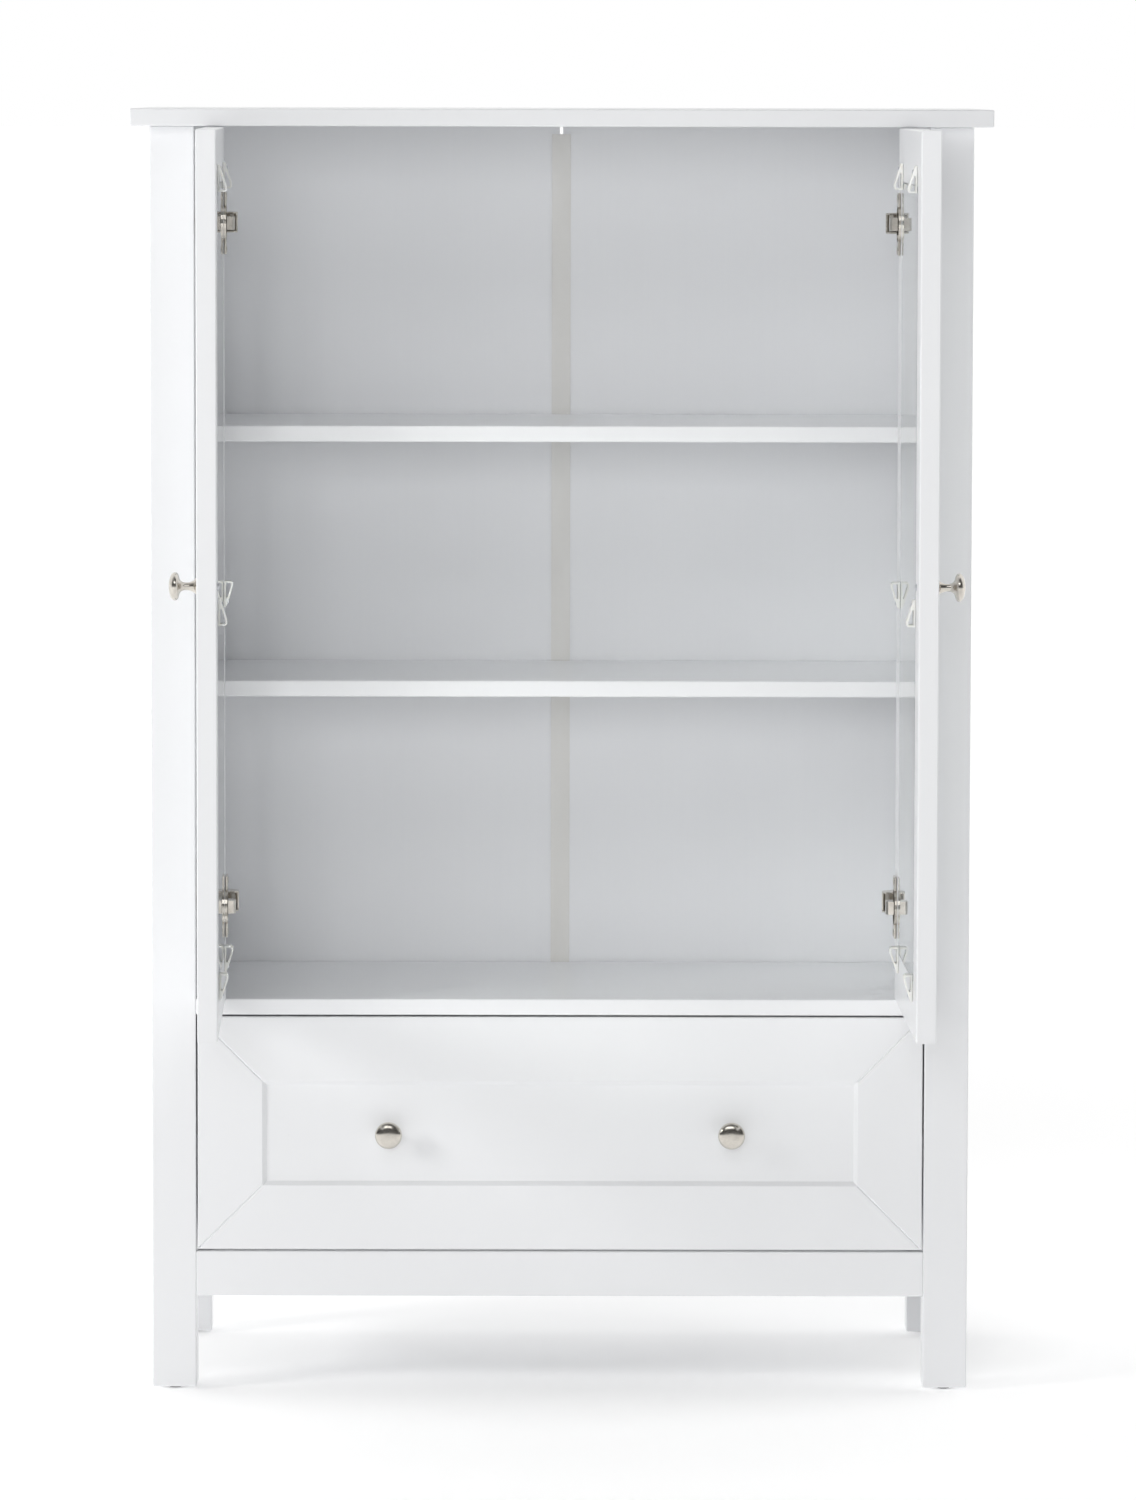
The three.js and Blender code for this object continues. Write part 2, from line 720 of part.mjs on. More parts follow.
/** The drawer: front, two grooved sides, back, bottom and two knobs. */
function addDrawer(parent) {
  addPiece(parent, 'drawer_front', 'whitePaint', drawerFrontGeometry());

  const outer = -drawerBoxHalfWidth;
  const inner = outer + drawerSideThickness;
  const sideTop = drawerBoxBottom + drawerSideHeight;
  const housing = inner - drawerBottomHousing;
  const housingBottom = drawerBottomZ - clearance;
  const housingTop = drawerBottomZ + drawerBottomThickness + clearance;
  const sideOutline = [
    [outer, drawerBoxBottom], [inner, drawerBoxBottom], [inner, housingBottom],
    [housing, housingBottom], [housing, housingTop], [inner, housingTop],
    [inner, sideTop], [outer, sideTop],
  ];
  for (const [side, sideName] of sides) {
    const board = prismAlongY(sideOutline, boardThickness, drawerBoxBack);
    addPiece(parent, `drawer_side_${sideName}`, 'whiteFoil', onSide(board, side));
    const knobX = (side * drawerKnobSpacing) / 2;
    const knobZ = (drawerFrontBottom + drawerFrontTop) / 2;
    const knob = knobGeometry(knobX, frameBevelDepth, knobZ);
    addPiece(parent, `drawer_knob_${sideName}`, 'satinNickel', knob);
  }
  addPiece(parent, 'drawer_back', 'whiteFoil', boardGeometry(
    [inner, drawerBoxBack - drawerSideThickness, housingTop],
    [-inner, drawerBoxBack, sideTop],
    0.4,
  ));
  const bottomHalf = -housing - clearance;
  addPiece(parent, 'drawer_bottom', 'whiteFoil', boxGeometry(
    [-bottomHalf, boardThickness - drawerBottomHousing + clearance, drawerBottomZ],
    [bottomHalf, drawerBoxBack, drawerBottomZ + drawerBottomThickness],
  ));
}

// ---- Assembly -----------------------------------------------------------------------------

/** How far forward an open door reaches, as a Y in the cabinet frame. */
function doorReach(restAngle) {
  const angle = THREE.MathUtils.degToRad(restAngle);
  const lead = hingeEdgeX + doorWidth - pivotX;
  const faces = [edgeChamfer - pivotY, doorThickness - edgeChamfer - pivotY];
  const reaches = faces.map((face) => pivotY - lead * Math.sin(angle) + face * Math.cos(angle));
  return Math.min(...reaches);
}

const group = new THREE.Group();

// The origin is under the middle of the object as it stands with its doors open.
const frontmost = Math.min(doorReach(doorRestAngleLeft), doorReach(doorRestAngleRight));
group.position.y = -(frontmost + bodyDepth) / 2;

addTopBoard(group);
addLegsAndGlides(group);
addSidePanels(group);
addFloorAndShelves(group);
addBack(group);
addAprons(group);
addRunners(group);
addHingeArms(group);
addDoor(group, -1, 'left', doorRestAngleLeft);
addDoor(group, 1, 'right', doorRestAngleRight);
addDrawer(group);

export default group;
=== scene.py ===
"""Dresses a white painted armoire: satin paint, glass doors, nickel hinges and knobs, studio.

The cabinet's frame gives every place. Each sub-assembly is a class with its sizes as fields,
each finish is a small frozen dataclass that builds its own material, and main() builds the
classes in order. Lengths are in metres, the front faces -Y and Z = 0 is the floor.
"""

import json
import logging
import math
from dataclasses import dataclass, field
from enum import Enum

import bmesh
import bpy
from mathutils import Matrix, Vector


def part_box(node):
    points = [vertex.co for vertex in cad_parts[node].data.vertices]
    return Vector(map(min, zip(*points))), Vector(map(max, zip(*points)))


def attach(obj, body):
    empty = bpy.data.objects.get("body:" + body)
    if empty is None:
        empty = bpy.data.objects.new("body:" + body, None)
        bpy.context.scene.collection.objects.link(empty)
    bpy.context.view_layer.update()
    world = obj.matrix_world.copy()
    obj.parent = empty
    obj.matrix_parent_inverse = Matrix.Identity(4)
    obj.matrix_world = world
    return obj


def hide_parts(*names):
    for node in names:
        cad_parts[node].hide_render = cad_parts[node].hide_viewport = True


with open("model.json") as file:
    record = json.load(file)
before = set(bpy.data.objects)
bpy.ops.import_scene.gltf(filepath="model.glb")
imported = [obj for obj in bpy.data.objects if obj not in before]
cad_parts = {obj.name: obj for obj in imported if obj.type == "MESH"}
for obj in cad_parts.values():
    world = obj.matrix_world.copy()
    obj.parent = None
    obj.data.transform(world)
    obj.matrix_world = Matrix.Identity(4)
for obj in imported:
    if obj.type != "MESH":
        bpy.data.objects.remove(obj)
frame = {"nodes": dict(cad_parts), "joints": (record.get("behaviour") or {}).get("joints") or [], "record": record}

log = logging.getLogger("armoire")

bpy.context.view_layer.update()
MM = 0.001
WELD_DISTANCE = 0.002 * MM
ON_AXIS = 1e-9


class Side(Enum):
    """A side of the cabinet, with the sign of X on that side."""

    LEFT = -1
    RIGHT = 1

    @property
    def word(self) -> str:
        """The side's name as it stands in node names."""
        return self.name.lower()


class Body(Enum):
    """The rigid bodies that pieces ride on."""

    CARCASS = "carcass"
    LEFT_DOOR = "left_door"
    RIGHT_DOOR = "right_door"
    DRAWER = "drawer"


def door_body(side: Side) -> Body:
    """The body of the door on a side."""
    return Body.LEFT_DOOR if side is Side.LEFT else Body.RIGHT_DOOR


# ---- Node trees ---------------------------------------------------------------------------


class Nodes:
    """A material's node tree with short calls for the nodes that the finishes share."""

    def __init__(self, name: str) -> None:
        """Starts a material with one Principled shader.

        Args:
            name: the material's name.
        """
        self.material = bpy.data.materials.new(name)
        self.material.use_nodes = True
        self.tree = self.material.node_tree
        self.shader = self.tree.nodes["Principled BSDF"]
        self.output = self.tree.nodes["Material Output"]
        self.place = self.add("ShaderNodeTexCoord").outputs["Object"]

    def add(self, kind: str, **settings: object) -> bpy.types.Node:
        """A new node with its plain settings.

        Args:
            kind: the node's type name.
            **settings: attributes to set on it.

        Returns:
            The node.
        """
        node = self.tree.nodes.new(kind)
        for key, value in settings.items():
            setattr(node, key, value)
        return node

    def link(self, source: bpy.types.NodeSocket, target: bpy.types.NodeSocket) -> None:
        """Joins an output to an input."""
        self.tree.links.new(source, target)

    def set(self, **values: object) -> None:
        """Sets the shader's own sockets, with underscores for the spaces in their names."""
        for key, value in values.items():
            self.shader.inputs[key.replace("_", " ")].default_value = value

    def stretched(self, scale: tuple[float, float, float]) -> bpy.types.NodeSocket:
        """The place of a point, stretched along the axes.

        Args:
            scale: the factor along X, Y and Z.

        Returns:
            The vector socket.
        """
        mapping = self.add("ShaderNodeMapping")
        mapping.inputs["Scale"].default_value = scale
        self.link(self.place, mapping.inputs["Vector"])
        return mapping.outputs["Vector"]

    def noise(
        self,
        scale: float,
        detail: float = 2.0,
        roughness: float = 0.5,
        place: bpy.types.NodeSocket | None = None,
    ) -> bpy.types.NodeSocket:
        """Smooth noise.

        Args:
            scale: bumps per metre.
            detail: octaves.
            roughness: weight of the finer octaves.
            place: the vector it reads, or the plain place.

        Returns:
            The value socket.
        """
        node = self.add("ShaderNodeTexNoise")
        node.inputs["Scale"].default_value = scale
        node.inputs["Detail"].default_value = detail
        node.inputs["Roughness"].default_value = roughness
        self.link(place or self.place, node.inputs["Vector"])
        return node.outputs["Fac"]

    def spread(
        self, value: bpy.types.NodeSocket, low: float, high: float, frm: float = 0.3, to: float = 0.7
    ) -> bpy.types.NodeSocket:
        """A value spread over a new range.

        Args:
            value: the socket to read.
            low: result at the start of the old range.
            high: result at its end.
            frm: start of the old range.
            to: end of the old range.

        Returns:
            The value socket.
        """
        node = self.add("ShaderNodeMapRange")
        node.inputs["From Min"].default_value = frm
        node.inputs["From Max"].default_value = to
        node.inputs["To Min"].default_value = low
        node.inputs["To Max"].default_value = high
        self.link(value, node.inputs["Value"])
        return node.outputs["Result"]

    def tint(
        self,
        value: bpy.types.NodeSocket,
        first: tuple[float, float, float],
        second: tuple[float, float, float],
    ) -> bpy.types.NodeSocket:
        """Two colours mixed by a value.

        Args:
            value: the share of the second colour.
            first: colour at 0.
            second: colour at 1.

        Returns:
            The colour socket.
        """
        node = self.add("ShaderNodeMix", data_type="RGBA")
        node.inputs["A"].default_value = (*first, 1.0)
        node.inputs["B"].default_value = (*second, 1.0)
        self.link(value, node.inputs["Factor"])
        return node.outputs["Result"]

    def bump(
        self,
        height: bpy.types.NodeSocket,
        distance: float,
        strength: float = 1.0,
        under: bpy.types.NodeSocket | None = None,
    ) -> bpy.types.NodeSocket:
        """A bump from a height.

        Args:
            height: the height socket.
            distance: metres that a height of 1 stands for.
            strength: share of the bump that shows.
            under: normal of a coarser bump below it.

        Returns:
            The normal socket.
        """
        node = self.add("ShaderNodeBump")
        node.inputs["Distance"].default_value = distance
        node.inputs["Strength"].default_value = strength
        self.link(height, node.inputs["Height"])
        if under is not None:
            self.link(under, node.inputs["Normal"])
        return node.outputs["Normal"]

    def finish(
        self,
        color: bpy.types.NodeSocket | None = None,
        roughness: bpy.types.NodeSocket | None = None,
        normal: bpy.types.NodeSocket | None = None,
    ) -> bpy.types.Material:
        """Joins what a finish drives to the shader.

        Args:
            color: base colour socket.
            roughness: roughness socket.
            normal: normal socket.

        Returns:
            The material.
        """
        for name, source in (("Base Color", color), ("Roughness", roughness), ("Normal", normal)):
            if source is not None:
                self.link(source, self.shader.inputs[name])
        return self.material


# ---- Finishes -----------------------------------------------------------------------------


@dataclass(frozen=True)
class SatinPaint:
    """Sprayed satin white over fibreboard: fine orange peel and a slow drift in tone and gloss."""

    name: str = "satin_white_paint"
    slot: str = "white_paint"
    light: tuple[float, float, float] = (0.900, 0.908, 0.923)
    shade: tuple[float, float, float] = (0.890, 0.899, 0.915)
    gloss: tuple[float, float] = (0.27, 0.32)
    peel_per_metre: float = 420.0
    peel_height: float = 0.000006
    wave_per_metre: float = 9.0
    wave_height: float = 0.00003
    drift_per_metre: float = 5.0
    haze_per_metre: float = 160.0

    def build(self) -> bpy.types.Material:
        """Builds the material.

        Returns:
            The material.
        """
        n = Nodes(self.name)
        n.set(IOR=1.5, Specular_IOR_Level=0.5, Coat_Weight=0.12, Coat_Roughness=0.28)
        drift = n.noise(self.drift_per_metre, 4.0, 0.55)
        speck = n.noise(self.peel_per_metre * 2.5, 2.0)
        color = n.tint(n.spread(drift, 0.0, 1.0, 0.25, 0.75), self.light, self.shade)
        rough = n.spread(n.noise(self.haze_per_metre, 5.0, 0.65), *self.gloss, 0.2, 0.8)
        wave = n.bump(n.noise(self.wave_per_metre, 2.0), self.wave_height)
        peel = n.bump(n.noise(self.peel_per_metre, 3.0, 0.6), self.peel_height, under=wave)
        grain = n.bump(speck, self.peel_height * 0.3, under=peel)
        return n.finish(color, rough, grain)


@dataclass(frozen=True)
class WhiteFoil:
    """Matt white foil over thin board, with the faint upright ribs of a rolled print."""

    name: str = "white_foil"
    slot: str = "white_foil"
    light: tuple[float, float, float] = (0.905, 0.913, 0.930)
    shade: tuple[float, float, float] = (0.885, 0.895, 0.915)
    gloss: tuple[float, float] = (0.42, 0.55)
    ribs_per_metre: float = 230.0
    rib_height: float = 0.000025
    cloud_per_metre: float = 3.5
    haze_per_metre: float = 90.0
    grain_per_metre: float = 900.0
    grain_height: float = 0.00003

    def build(self) -> bpy.types.Material:
        """Builds the material.

        Returns:
            The material.
        """
        n = Nodes(self.name)
        n.set(IOR=1.46, Specular_IOR_Level=0.4)
        ribs = n.noise(self.ribs_per_metre, 2.0, 0.6, n.stretched((1.0, 1.0, 0.012)))
        cloud = n.noise(self.cloud_per_metre, 4.0, 0.5, n.stretched((1.0, 1.0, 0.5)))
        both = n.add("ShaderNodeMath", operation="ADD")
        n.link(n.spread(ribs, 0.0, 0.3), both.inputs[0])
        n.link(n.spread(cloud, 0.0, 0.55), both.inputs[1])
        color = n.tint(both.outputs[0], self.light, self.shade)
        rough = n.spread(n.noise(self.haze_per_metre, 4.0, 0.6), *self.gloss)
        rib_bump = n.bump(ribs, self.rib_height)
        grain = n.bump(n.noise(self.grain_per_metre, 3.0, 0.6), self.grain_height, under=rib_bump)
        return n.finish(color, rough, grain)


@dataclass(frozen=True)
class BrushedMetal:
    """Plated metal with fine brush marks along one axis and faint handling marks."""

    name: str
    slot: str
    light: tuple[float, float, float]
    shade: tuple[float, float, float]
    gloss: tuple[float, float]
    brush: tuple[float, float, float]
    brush_height: float = 0.000004
    blotch_per_metre: float = 140.0

    def build(self) -> bpy.types.Material:
        """Builds the material.

        Returns:
            The material.
        """
        n = Nodes(self.name)
        n.set(Metallic=1.0)
        marks = n.noise(1.0, 4.0, 0.7, n.stretched(self.brush))
        blotch = n.noise(self.blotch_per_metre, 4.0, 0.6)
        color = n.tint(n.spread(blotch, 0.0, 1.0), self.light, self.shade)
        mixed = n.add("ShaderNodeMath", operation="MULTIPLY_ADD")
        mixed.inputs[1].default_value = 0.5
        n.link(marks, mixed.inputs[0])
        n.link(n.spread(blotch, 0.0, 0.5), mixed.inputs[2])
        rough = n.spread(mixed.outputs[0], *self.gloss, 0.2, 0.8)
        return n.finish(color, rough, n.bump(marks, self.brush_height))


@dataclass(frozen=True)
class PaneGlass:
    """Clear float glass with a faint green cast that lets the studio light through."""

    name: str = "clear_glass"
    slot: str = "clear_glass"
    tint: tuple[float, float, float] = (0.975, 0.992, 0.985)
    shadow_tint: tuple[float, float, float] = (0.93, 0.95, 0.94)
    smear_per_metre: float = 14.0
    smear_roughness: float = 0.035
    ripple_per_metre: float = 9.0
    ripple_height: float = 0.00001

    def build(self) -> bpy.types.Material:
        """Builds the material.

        Returns:
            The material.
        """
        n = Nodes(self.name)
        n.set(Base_Color=(*self.tint, 1.0), IOR=1.5, Transmission_Weight=1.0)
        smear = n.spread(n.noise(self.smear_per_metre, 5.0, 0.6), 0.0, self.smear_roughness)
        n.finish(roughness=smear, normal=n.bump(n.noise(self.ripple_per_metre, 2.0), self.ripple_height))
        clear = n.add("ShaderNodeBsdfTransparent")
        clear.inputs["Color"].default_value = (*self.shadow_tint, 1.0)
        mix = n.add("ShaderNodeMixShader")
        n.link(n.add("ShaderNodeLightPath").outputs["Is Shadow Ray"], mix.inputs["Fac"])
        n.link(n.shader.outputs["BSDF"], mix.inputs[1])
        n.link(clear.outputs["BSDF"], mix.inputs[2])
        n.link(mix.outputs["Shader"], n.output.inputs["Surface"])
        return n.material


@dataclass(frozen=True)
class MouldedPlastic:
    """Moulded plastic with a fine spark texture, cloudy inside where it is translucent."""

    name: str
    slot: str
    light: tuple[float, float, float]
    shade: tuple[float, float, float]
    gloss: tuple[float, float] = (0.34, 0.5)
    cloud: float = 0.0
    cloud_depth: float = 0.004
    spark_per_metre: float = 1500.0
    spark_height: float = 0.00002
    flow_per_metre: float = 45.0
    haze_per_metre: float = 300.0

    def build(self) -> bpy.types.Material:
        """Builds the material.

        Returns:
            The material.
        """
        n = Nodes(self.name)
        n.set(IOR=1.49)
        if self.cloud:
            n.set(
                Subsurface_Weight=self.cloud,
                Subsurface_Radius=(1.0, 0.95, 0.85),
                Subsurface_Scale=self.cloud_depth,
            )
        flow = n.noise(self.flow_per_metre, 3.0, 0.5, n.stretched((1.0, 1.0, 0.3)))
        color = n.tint(n.spread(flow, 0.0, 1.0), self.light, self.shade)
        rough = n.spread(n.noise(self.haze_per_metre, 3.0), *self.gloss)
        spark = n.bump(n.noise(self.spark_per_metre, 3.0, 0.6), self.spark_height)
        return n.finish(color, rough, spark)


@dataclass(frozen=True)
class FinishSet:
    """Every finish of the armoire, built once and kept by its slot."""

    nickel: BrushedMetal = BrushedMetal(
        "satin_nickel",
        "satin_nickel",
        (0.70, 0.665, 0.61),
        (0.62, 0.585, 0.53),
        (0.14, 0.27),
        (2600.0, 500.0, 300.0),
    )
    zinc: BrushedMetal = BrushedMetal(
        "zinc_steel",
        "zinc_steel",
        (0.72, 0.73, 0.75),
        (0.58, 0.60, 0.64),
        (0.24, 0.42),
        (400.0, 60.0, 400.0),
    )
    milky: MouldedPlastic = MouldedPlastic(
        "milky_plastic", "milky_plastic", (0.90, 0.90, 0.86), (0.84, 0.845, 0.80), cloud=0.55
    )
    grey: MouldedPlastic = MouldedPlastic(
        "grey_plastic", "grey_plastic", (0.83, 0.822, 0.80), (0.80, 0.79, 0.765), (0.4, 0.55)
    )
    black: MouldedPlastic = MouldedPlastic(
        "black_plastic", "black_plastic", (0.030, 0.030, 0.032), (0.020, 0.020, 0.021), (0.5, 0.65)
    )
    paint: SatinPaint = SatinPaint()
    foil: WhiteFoil = WhiteFoil()
    glass: PaneGlass = PaneGlass()
    built: dict[str, bpy.types.Material] = field(default_factory=dict)

    def of(self, slot: str) -> bpy.types.Material:
        """The material of a slot, built when it is first asked for.

        Args:
            slot: the record's slot name.

        Returns:
            The material.
        """
        finishes = (
            self.nickel, self.zinc, self.milky, self.grey, self.black,
            self.paint, self.foil, self.glass,
        )
        if slot not in self.built:
            finish = next(f for f in finishes if f.slot == slot)
            self.built[slot] = finish.build()
        return self.built[slot]


FINISHES = FinishSet()


# ---- Mesh helpers -------------------------------------------------------------------------


def add_piece(
    name: str, mesh: bpy.types.Mesh, body: Body, slot: str, smooth: bool = False
) -> bpy.types.Object:
    """Puts a mesh in the scene as a piece of a body, in the finish of a slot.

    Args:
        name: the piece's name.
        mesh: its mesh, in the row frame.
        body: the body it rides on.
        slot: the record's material slot.
        smooth: whether its faces shade smoothly.

    Returns:
        The new object.
    """
    piece = bpy.data.objects.new(name, mesh)
    bpy.context.scene.collection.objects.link(piece)
    mesh.materials.clear()
    mesh.materials.append(FINISHES.of(slot))
    for face in mesh.polygons:
        face.use_smooth = smooth
    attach(piece, body.value)
    return piece


def add_rounding(piece: bpy.types.Object, width: float, segments: int = 2, angle: float = 25.0) -> None:
    """Rounds a piece's edges with modifiers.

    Args:
        piece: the object.
        width: how far the rounding reaches, in metres.
        segments: faces across each rounding.
        angle: edges that turn less than this stay as they are, in degrees.
    """
    weld = piece.modifiers.new("weld", "WELD")
    weld.merge_threshold = WELD_DISTANCE
    bevel = piece.modifiers.new("rounding", "BEVEL")
    bevel.width = width
    bevel.segments = segments
    bevel.limit_method = "ANGLE"
    bevel.angle_limit = math.radians(angle)
    bevel.use_clamp_overlap = True
    bevel.harden_normals = False


def turned_mesh(
    name: str, profile: list[tuple[float, float]], steps: int = 64
) -> bpy.types.Mesh:
    """A closed turned mesh about Z.

    Args:
        name: the mesh's name.
        profile: (radius, height) points that start and end on the axis.
        steps: faces round the axis.

    Returns:
        The mesh.
    """
    bm = bmesh.new()
    rings: list[list[bmesh.types.BMVert]] = []
    for radius, height in profile:
        if radius < ON_AXIS:
            rings.append([bm.verts.new((0.0, 0.0, height))])
            continue
        turn = [2 * math.pi * i / steps for i in range(steps)]
        rings.append([bm.verts.new((radius * math.cos(a), radius * math.sin(a), height)) for a in turn])
    for low, high in zip(rings, rings[1:]):
        for i in range(steps):
            j = (i + 1) % steps
            if len(low) == 1:
                bm.faces.new((low[0], high[j], high[i]))
            elif len(high) == 1:
                bm.faces.new((low[i], low[j], high[0]))
            else:
                bm.faces.new((low[i], low[j], high[j], high[i]))
    bmesh.ops.recalc_face_normals(bm, faces=bm.faces)
    mesh = bpy.data.meshes.new(name)
    bm.to_mesh(mesh)
    bm.free()
    return mesh


def smooth_profile(points: list[tuple[float, float]], steps: int) -> list[tuple[float, float]]:
    """A profile with smooth curves between its points, by a Catmull-Rom spline.

    Args:
        points: the profile's key points.
        steps: points made between each pair.

    Returns:
        The finer profile.
    """
    ends = [points[0], *points, points[-1]]
    fine: list[tuple[float, float]] = []
    for p0, p1, p2, p3 in zip(ends, ends[1:], ends[2:], ends[3:]):
        for step in range(steps):
            t = step / steps
            weights = (
                -0.5 * t + t * t - 0.5 * t**3,
                1.0 - 2.5 * t * t + 1.5 * t**3,
                0.5 * t + 2.0 * t * t - 1.5 * t**3,
                -0.5 * t * t + 0.5 * t**3,
            )
            pair = [sum(w * p[k] for w, p in zip(weights, (p0, p1, p2, p3))) for k in (0, 1)]
            fine.append((max(pair[0], 0.0), pair[1]))
    fine.append(points[-1])
    return fine


def facing(place: Vector, outward: Vector) -> Matrix:
    """A matrix that stands a piece drawn along +Z at a place, pointing outward.

    Args:
        place: where its base goes.
        outward: the direction of its axis.

    Returns:
        The matrix.
    """
    turn = outward.to_track_quat("Z", "Y").to_matrix().to_4x4()
    return Matrix.Translation(place) @ turn


def joined(name: str, meshes: list[tuple[bpy.types.Mesh, Matrix]]) -> bpy.types.Mesh:
    """Several placed meshes as one mesh.

    Args:
        name: the new mesh's name.
        meshes: pairs of mesh and matrix.

    Returns:
        The joined mesh.
    """
    bm = bmesh.new()
    for mesh, matrix in meshes:
        placed = mesh.copy()
        placed.transform(matrix)
        bm.from_mesh(placed)
        bpy.data.meshes.remove(placed)
    result = bpy.data.meshes.new(name)
    bm.to_mesh(result)
    bm.free()
    return result


# ---- Screws -------------------------------------------------------------------------------


@dataclass(frozen=True)
class Screw:
    """A pan-head screw with a cross recess, drawn along +Z with its seat on Z = 0."""

    head_radius: float = 3.2 * MM
    head_height: float = 1.7 * MM
    recess: float = 0.62
    steps: int = 28

    def mesh(self, name: str) -> bpy.types.Mesh:
        """Builds the head with its cross sunk into the crown.

        Args:
            name: the mesh's name.

        Returns:
            The mesh.
        """
        r, h = self.head_radius, self.head_height
        profile = [
            (0.0, -0.2 * h), (0.9 * r, -0.2 * h), (0.97 * r, 0.0), (r, 0.28 * h),
            (0.93 * r, 0.62 * h), (0.72 * r, 0.88 * h), (0.45 * r, h), (0.0, h),
        ]
        head = bpy.data.objects.new(name, turned_mesh(name, profile, self.steps))
        bpy.context.scene.collection.objects.link(head)
        arm, wide, deep = self.recess * r, 0.16 * r, 0.55 * h
        cutters = []
        for half_x, half_y in ((arm, wide), (wide, arm)):
            bm = bmesh.new()
            bmesh.ops.create_cube(bm, size=1.0)
            for vert in bm.verts:
                taper = 0.55 if vert.co.z < 0 else 1.0
                vert.co.x *= 2 * half_x * taper
                vert.co.y *= 2 * half_y
                vert.co.z = h * 1.3 if vert.co.z > 0 else h - deep
            cutter_mesh = bpy.data.meshes.new("cross_arm")
            bm.to_mesh(cutter_mesh)
            bm.free()
            cutter = bpy.data.objects.new("cross_arm", cutter_mesh)
            bpy.context.scene.collection.objects.link(cutter)
            cutters.append(cutter)
            cut = head.modifiers.new("cross", "BOOLEAN")
            cut.object = cutter
            cut.solver = "EXACT"
        graph = bpy.context.evaluated_depsgraph_get()
        result = bpy.data.meshes.new_from_object(head.evaluated_get(graph))
        for spare in (head, *cutters):
            bpy.data.objects.remove(spare)
        result.name = name
        return result


# ---- Carcass ------------------------------------------------------------------------------


@dataclass
class Carcass:
    """The painted cabinet: boards, posts, shelf pins and the back's screws."""

    board_rounding: float = 0.45 * MM
    post_rounding: float = 0.7 * MM
    pin_radius: float = 2.5 * MM
    pin_length: float = 9.0 * MM
    pin_tip: float = 0.6 * MM
    pin_inset: float = 40.0 * MM
    screw: Screw = Screw(3.6 * MM, 1.6 * MM)
    screw_shares: tuple[float, ...] = (0.2, 0.5, 0.8)
    boards: tuple[str, ...] = (
        "top_board", "side_panel_left", "side_panel_right", "cabinet_floor",
        "shelf_lower", "shelf_upper", "apron_front", "apron_rear",
    )
    posts: tuple[str, ...] = (
        "front_leg_left", "front_leg_right", "rear_leg_left", "rear_leg_right",
    )

    def build(self) -> list[bpy.types.Object]:
        """Rounds the boards and adds the pins and the back's screws.

        Returns:
            The new pieces.
        """
        for name in self.boards:
            add_rounding(frame["nodes"][name], self.board_rounding)
        for name in self.posts:
            add_rounding(frame["nodes"][name], self.post_rounding, 3)
        return [self.shelf_pins(), self.back_screws()]

    def shelf_pins(self) -> bpy.types.Object:
        """Four nickel pins under each shelf.

        Returns:
            The pins as one piece.
        """
        r, length, tip = self.pin_radius, self.pin_length, self.pin_tip
        profile = [(0.0, 0.0), (r, 0.0), (r, length - tip), (r - tip, length), (0.0, length)]
        pin = turned_mesh("shelf_pin", profile, 24)
        places = []
        for shelf in ("shelf_lower", "shelf_upper"):
            low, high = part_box(shelf)
            for x, outward in ((low[0], 1.0), (high[0], -1.0)):
                for y in (low[1] + self.pin_inset, high[1] - self.pin_inset):
                    place = Vector((x, y, low[2] - r))
                    places.append((pin, facing(place, Vector((outward, 0.0, 0.0)))))
        return add_piece("shelf_pins", joined("shelf_pins", places), Body.CARCASS, "satin_nickel")

    def back_screws(self) -> bpy.types.Object:
        """Screws that hold the back to the rear edges of the shelves and the floor.

        Returns:
            The screws as one piece.
        """
        head = self.screw.mesh("back_screw")
        places = []
        for board in ("cabinet_floor", "shelf_lower", "shelf_upper"):
            low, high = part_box(board)
            height = (low[2] + high[2]) / 2
            for side in Side:
                panel_low, panel_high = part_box(f"back_panel_{side.word}")
                for share in self.screw_shares:
                    x = panel_low[0] + (panel_high[0] - panel_low[0]) * share
                    place = Vector((x, panel_high[1], height))
                    places.append((head, facing(place, Vector((0.0, 1.0, 0.0)))))
        return add_piece("back_screws", joined("back_screws", places), Body.CARCASS, "zinc_steel")


# ---- Knobs --------------------------------------------------------------------------------


